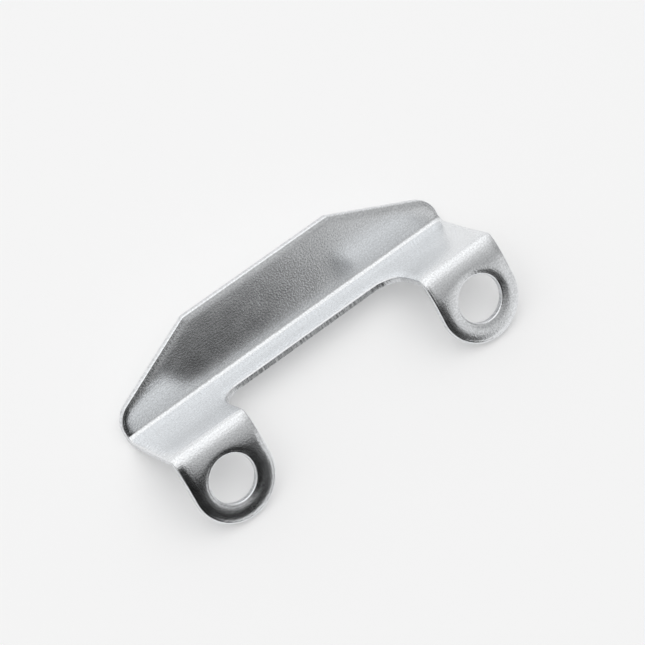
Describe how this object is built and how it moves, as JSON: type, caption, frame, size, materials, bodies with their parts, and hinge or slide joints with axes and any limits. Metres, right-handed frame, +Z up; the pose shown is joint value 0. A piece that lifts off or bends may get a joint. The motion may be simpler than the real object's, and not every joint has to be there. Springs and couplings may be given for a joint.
{
  "type": "cable clamp",
  "caption": "One-piece folded steel cable clamp with a raised leaf and two screw ears beside an open notch.",
  "frame": {"origin": "on the ground, under the middle of the bounding box, as the clamp lies at rest", "axes": "+X along both folds; +Z up as it lies on its first fold and ear tips; the leaf rises towards +Y and the ears slope down towards -Y"},
  "size_m": [0.0524, 0.026, 0.0092],
  "materials": {
    "zinc_plated_steel": "bright zinc plate, fine satin grain"
  },
  "bodies": {
    "root": {"clamp_plate": "zinc_plated_steel"}
  },
  "joints": []
}
